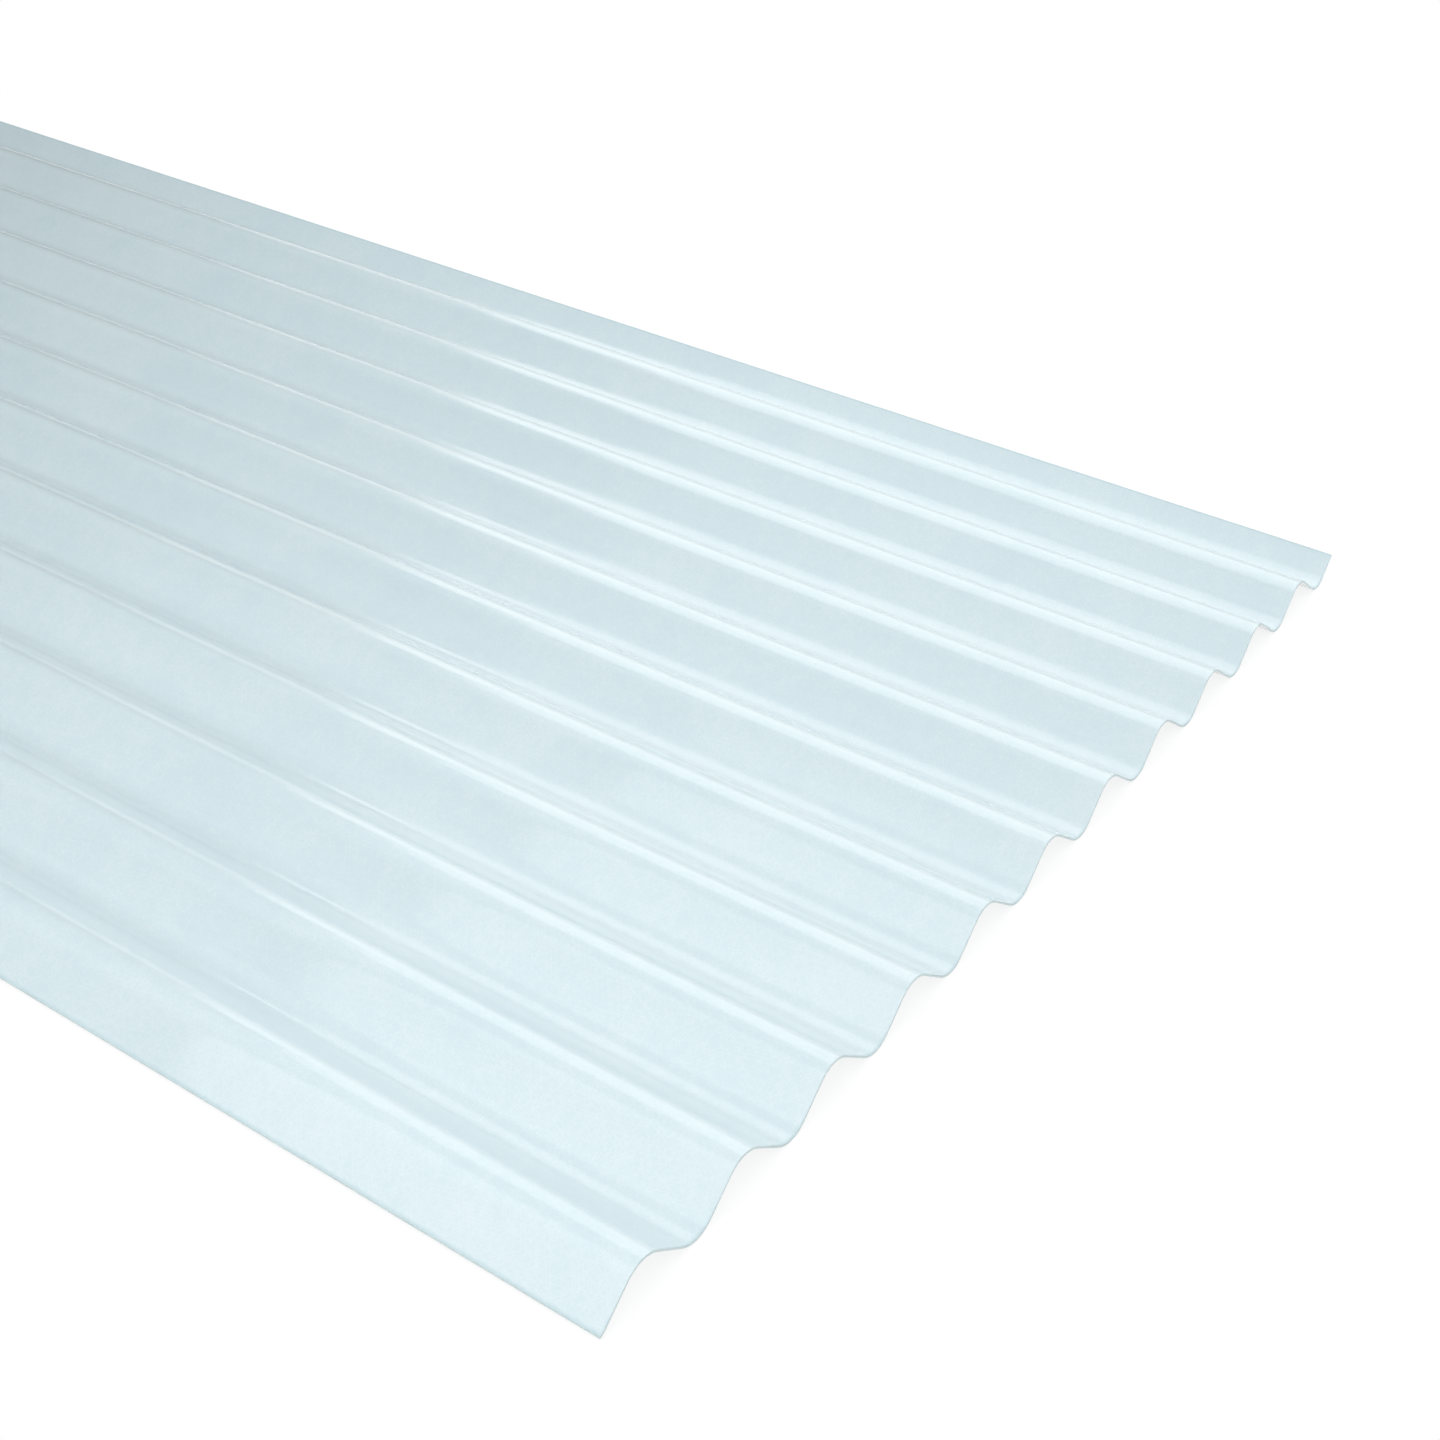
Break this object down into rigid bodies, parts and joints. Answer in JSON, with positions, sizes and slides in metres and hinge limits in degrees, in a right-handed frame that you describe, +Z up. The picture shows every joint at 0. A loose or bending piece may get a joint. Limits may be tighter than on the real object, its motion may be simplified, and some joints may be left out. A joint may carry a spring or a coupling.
{
  "type": "corrugated roofing sheet",
  "caption": "Long translucent pale blue fibreglass roofing sheet with round waves along its length and square-cut edges.",
  "frame": {"origin": "on the floor, under the middle of the sheet", "axes": "+X along the waves, +Y across them from the underlap edge to the overlap edge, +Z up"},
  "size_m": [2.4, 0.858, 0.0192],
  "materials": {
    "fibreglass": "glossy translucent pale blue polyester and chopped glass laminate"
  },
  "bodies": {
    "root": {"corrugated_sheet": "fibreglass"}
  },
  "joints": []
}
